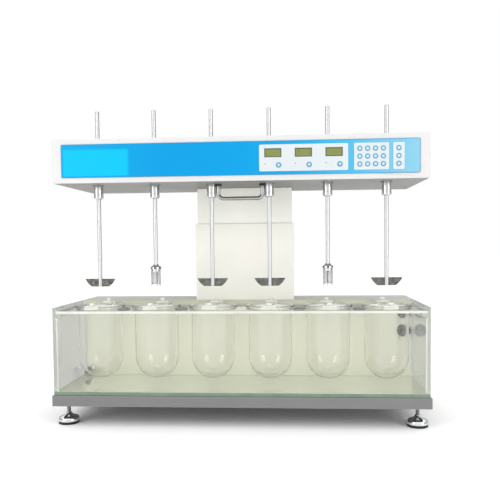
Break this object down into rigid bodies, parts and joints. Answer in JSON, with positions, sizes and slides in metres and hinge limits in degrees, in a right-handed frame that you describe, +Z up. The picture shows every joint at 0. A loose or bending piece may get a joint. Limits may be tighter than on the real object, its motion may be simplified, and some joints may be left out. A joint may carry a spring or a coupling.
{
  "type": "tablet dissolution tester",
  "caption": "Tablet dissolution tester: a glass water bath with round-bottomed vessels, under a drive head that rises on a column and turns paddles and baskets.",
  "frame": {"origin": "on the floor under the middle of the base tray", "axes": "+X to the operator's right, +Y from the operator to the back, +Z up"},
  "size_m": [0.87, 0.3354, 0.746],
  "materials": {
    "tray_paint": "semi-matt grey powder coat",
    "bath_glass": "clear bonded plate glass, faint green edge",
    "floor_glass": "thick green-tinted plate glass",
    "cream_panel": "cream enamel, satin",
    "plate_acrylic": "clear cast acrylic",
    "vessel_glass": "clear borosilicate glass",
    "housing_paint": "satin light grey powder coat",
    "black_plastic": "fine satin moulded black",
    "black_rubber": "matt black rubber",
    "chrome": "bright chrome plate",
    "dark_metal": "satin black enamel",
    "steel": "turned and brushed stainless steel",
    "aluminium": "turned aluminium",
    "column_paint": "satin off-white powder coat",
    "chassis_paint": "satin grey powder coat",
    "head_paint": "fine-textured white powder coat",
    "fascia_blue": "printed blue polyester film, cyan at the left, pale at the right",
    "panel_white": "white embossed membrane",
    "board_green": "green solder mask",
    "lcd_green": "olive-green liquid-crystal display",
    "button_blue": "blue moulded cap"
  },
  "bodies": {
    "base": {"base_tray": "tray_paint", "bath_glass": "bath_glass", "bath_floor": "floor_glass", "bath_rear_wall": "cream_panel", "vessel_plate": "plate_acrylic", "vessel_1": "vessel_glass", "vessel_2": "vessel_glass", "vessel_3": "vessel_glass", "vessel_4": "vessel_glass", "vessel_5": "vessel_glass", "vessel_6": "vessel_glass", "rear_housing": "housing_paint", "rear_panel": "housing_paint", "mains_inlet": "black_plastic", "lower_port": "black_rubber", "upper_port": "black_rubber", "return_nozzle": "chrome", "circulation_pump": "dark_metal", "heater_tube": "steel", "column_sleeve": "column_paint", "guide_collar": "black_plastic", "lift_actuator": "dark_metal"},
    "head": {"column_inner": "column_paint", "lift_rod": "chrome", "head_chassis": "chassis_paint", "head_cover": "head_paint", "panel_fascia": "fascia_blue", "display_bezel": "panel_white", "main_keypad": "panel_white", "side_keypad": "panel_white", "display_board": "board_green", "lcd_1": "lcd_green", "lcd_2": "lcd_green", "lcd_3": "lcd_green", "lift_handle": "chrome", "drive_motor": "dark_metal", "drive_belt": "black_rubber"},
    "motor_rotor": {"motor_pulley": "aluminium"},
    "mains_switch": {"mains_switch": "black_plastic"},
    "spindle_1": {"spindle_1": "steel"},
    "spindle_2": {"spindle_2": "steel"},
    "spindle_3": {"spindle_3": "steel"},
    "spindle_4": {"spindle_4": "steel"},
    "spindle_5": {"spindle_5": "steel"},
    "spindle_6": {"spindle_6": "steel"},
    "shaft_1": {"paddle_shaft_1": "steel"},
    "shaft_2": {"basket_shaft_2": "steel"},
    "basket_2": {"basket_2": "steel"},
    "shaft_3": {"paddle_shaft_3": "steel"},
    "shaft_4": {"paddle_shaft_4": "steel"},
    "shaft_5": {"basket_shaft_5": "steel"},
    "basket_5": {"basket_5": "steel"},
    "shaft_6": {"paddle_shaft_6": "steel"},
    "display_button_1": {"display_button_1": "button_blue"},
    "display_button_2": {"display_button_2": "button_blue"},
    "display_button_3": {"display_button_3": "button_blue"},
    "foot_front_left": {"foot_front_left": "chrome"},
    "foot_front_right": {"foot_front_right": "chrome"},
    "foot_rear_left": {"foot_rear_left": "chrome"},
    "foot_rear_right": {"foot_rear_right": "chrome"}
  },
  "joints": [
    {"name": "head_lift", "type": "slide", "parent": "base", "child": "head", "axis": [0, 0, 1], "range_m": [-0.092, 0]},
    {"name": "motor_spin", "type": "hinge", "parent": "head", "child": "motor_rotor", "pos_m": [0, 0.006, 0.64], "axis": [0, 0, 1], "continuous": true},
    {"name": "spindle_1_spin", "type": "hinge", "parent": "head", "child": "spindle_1", "pos_m": [-0.3475, -0.064, 0.6], "axis": [0, 0, 1], "continuous": true},
    {"name": "spindle_2_spin", "type": "hinge", "parent": "head", "child": "spindle_2", "pos_m": [-0.2085, -0.064, 0.6], "axis": [0, 0, 1], "continuous": true},
    {"name": "spindle_3_spin", "type": "hinge", "parent": "head", "child": "spindle_3", "pos_m": [-0.0695, -0.064, 0.6], "axis": [0, 0, 1], "continuous": true},
    {"name": "spindle_4_spin", "type": "hinge", "parent": "head", "child": "spindle_4", "pos_m": [0.0695, -0.064, 0.6], "axis": [0, 0, 1], "continuous": true},
    {"name": "spindle_5_spin", "type": "hinge", "parent": "head", "child": "spindle_5", "pos_m": [0.2085, -0.064, 0.6], "axis": [0, 0, 1], "continuous": true},
    {"name": "spindle_6_spin", "type": "hinge", "parent": "head", "child": "spindle_6", "pos_m": [0.3475, -0.064, 0.6], "axis": [0, 0, 1], "continuous": true},
    {"name": "shaft_1_height", "type": "slide", "parent": "spindle_1", "child": "shaft_1", "axis": [0, 0, 1], "range_m": [-0.104, 0]},
    {"name": "shaft_2_height", "type": "slide", "parent": "spindle_2", "child": "shaft_2", "axis": [0, 0, 1], "range_m": [-0.104, 0]},
    {"name": "basket_2_unclip", "type": "slide", "parent": "shaft_2", "child": "basket_2", "axis": [0, 0, 1], "range_m": [-0.02, 0]},
    {"name": "shaft_3_height", "type": "slide", "parent": "spindle_3", "child": "shaft_3", "axis": [0, 0, 1], "range_m": [-0.104, 0]},
    {"name": "shaft_4_height", "type": "slide", "parent": "spindle_4", "child": "shaft_4", "axis": [0, 0, 1], "range_m": [-0.104, 0]},
    {"name": "shaft_5_height", "type": "slide", "parent": "spindle_5", "child": "shaft_5", "axis": [0, 0, 1], "range_m": [-0.104, 0]},
    {"name": "basket_5_unclip", "type": "slide", "parent": "shaft_5", "child": "basket_5", "axis": [0, 0, 1], "range_m": [-0.02, 0]},
    {"name": "shaft_6_height", "type": "slide", "parent": "spindle_6", "child": "shaft_6", "axis": [0, 0, 1], "range_m": [-0.104, 0]},
    {"name": "display_button_1_push", "type": "slide", "parent": "head", "child": "display_button_1", "axis": [0, 1, 0], "range_m": [0, 0.001], "stiffness_N_per_m": 800},
    {"name": "display_button_2_push", "type": "slide", "parent": "head", "child": "display_button_2", "axis": [0, 1, 0], "range_m": [0, 0.001], "stiffness_N_per_m": 800},
    {"name": "display_button_3_push", "type": "slide", "parent": "head", "child": "display_button_3", "axis": [0, 1, 0], "range_m": [0, 0.001], "stiffness_N_per_m": 800},
    {"name": "foot_front_left_turn", "type": "hinge", "parent": "base", "child": "foot_front_left", "pos_m": [-0.408, -0.133, 0.03], "axis": [0, 0, 1], "continuous": true},
    {"name": "foot_front_right_turn", "type": "hinge", "parent": "base", "child": "foot_front_right", "pos_m": [0.408, -0.133, 0.03], "axis": [0, 0, 1], "continuous": true},
    {"name": "foot_rear_left_turn", "type": "hinge", "parent": "base", "child": "foot_rear_left", "pos_m": [-0.408, 0.133, 0.03], "axis": [0, 0, 1], "continuous": true},
    {"name": "foot_rear_right_turn", "type": "hinge", "parent": "base", "child": "foot_rear_right", "pos_m": [0.408, 0.133, 0.03], "axis": [0, 0, 1], "continuous": true},
    {"name": "mains_switch_rock", "type": "hinge", "parent": "base", "child": "mains_switch", "pos_m": [-0.24, 0.16, 0.15], "axis": [1, 0, 0], "range_deg": [0, 16]}
  ],
  "couplings": [
    {"joint": "spindle_1_spin", "follows": "motor_spin", "ratio": 1},
    {"joint": "spindle_2_spin", "follows": "motor_spin", "ratio": 1},
    {"joint": "spindle_3_spin", "follows": "motor_spin", "ratio": 1},
    {"joint": "spindle_4_spin", "follows": "motor_spin", "ratio": 1},
    {"joint": "spindle_5_spin", "follows": "motor_spin", "ratio": 1},
    {"joint": "spindle_6_spin", "follows": "motor_spin", "ratio": 1}
  ]
}
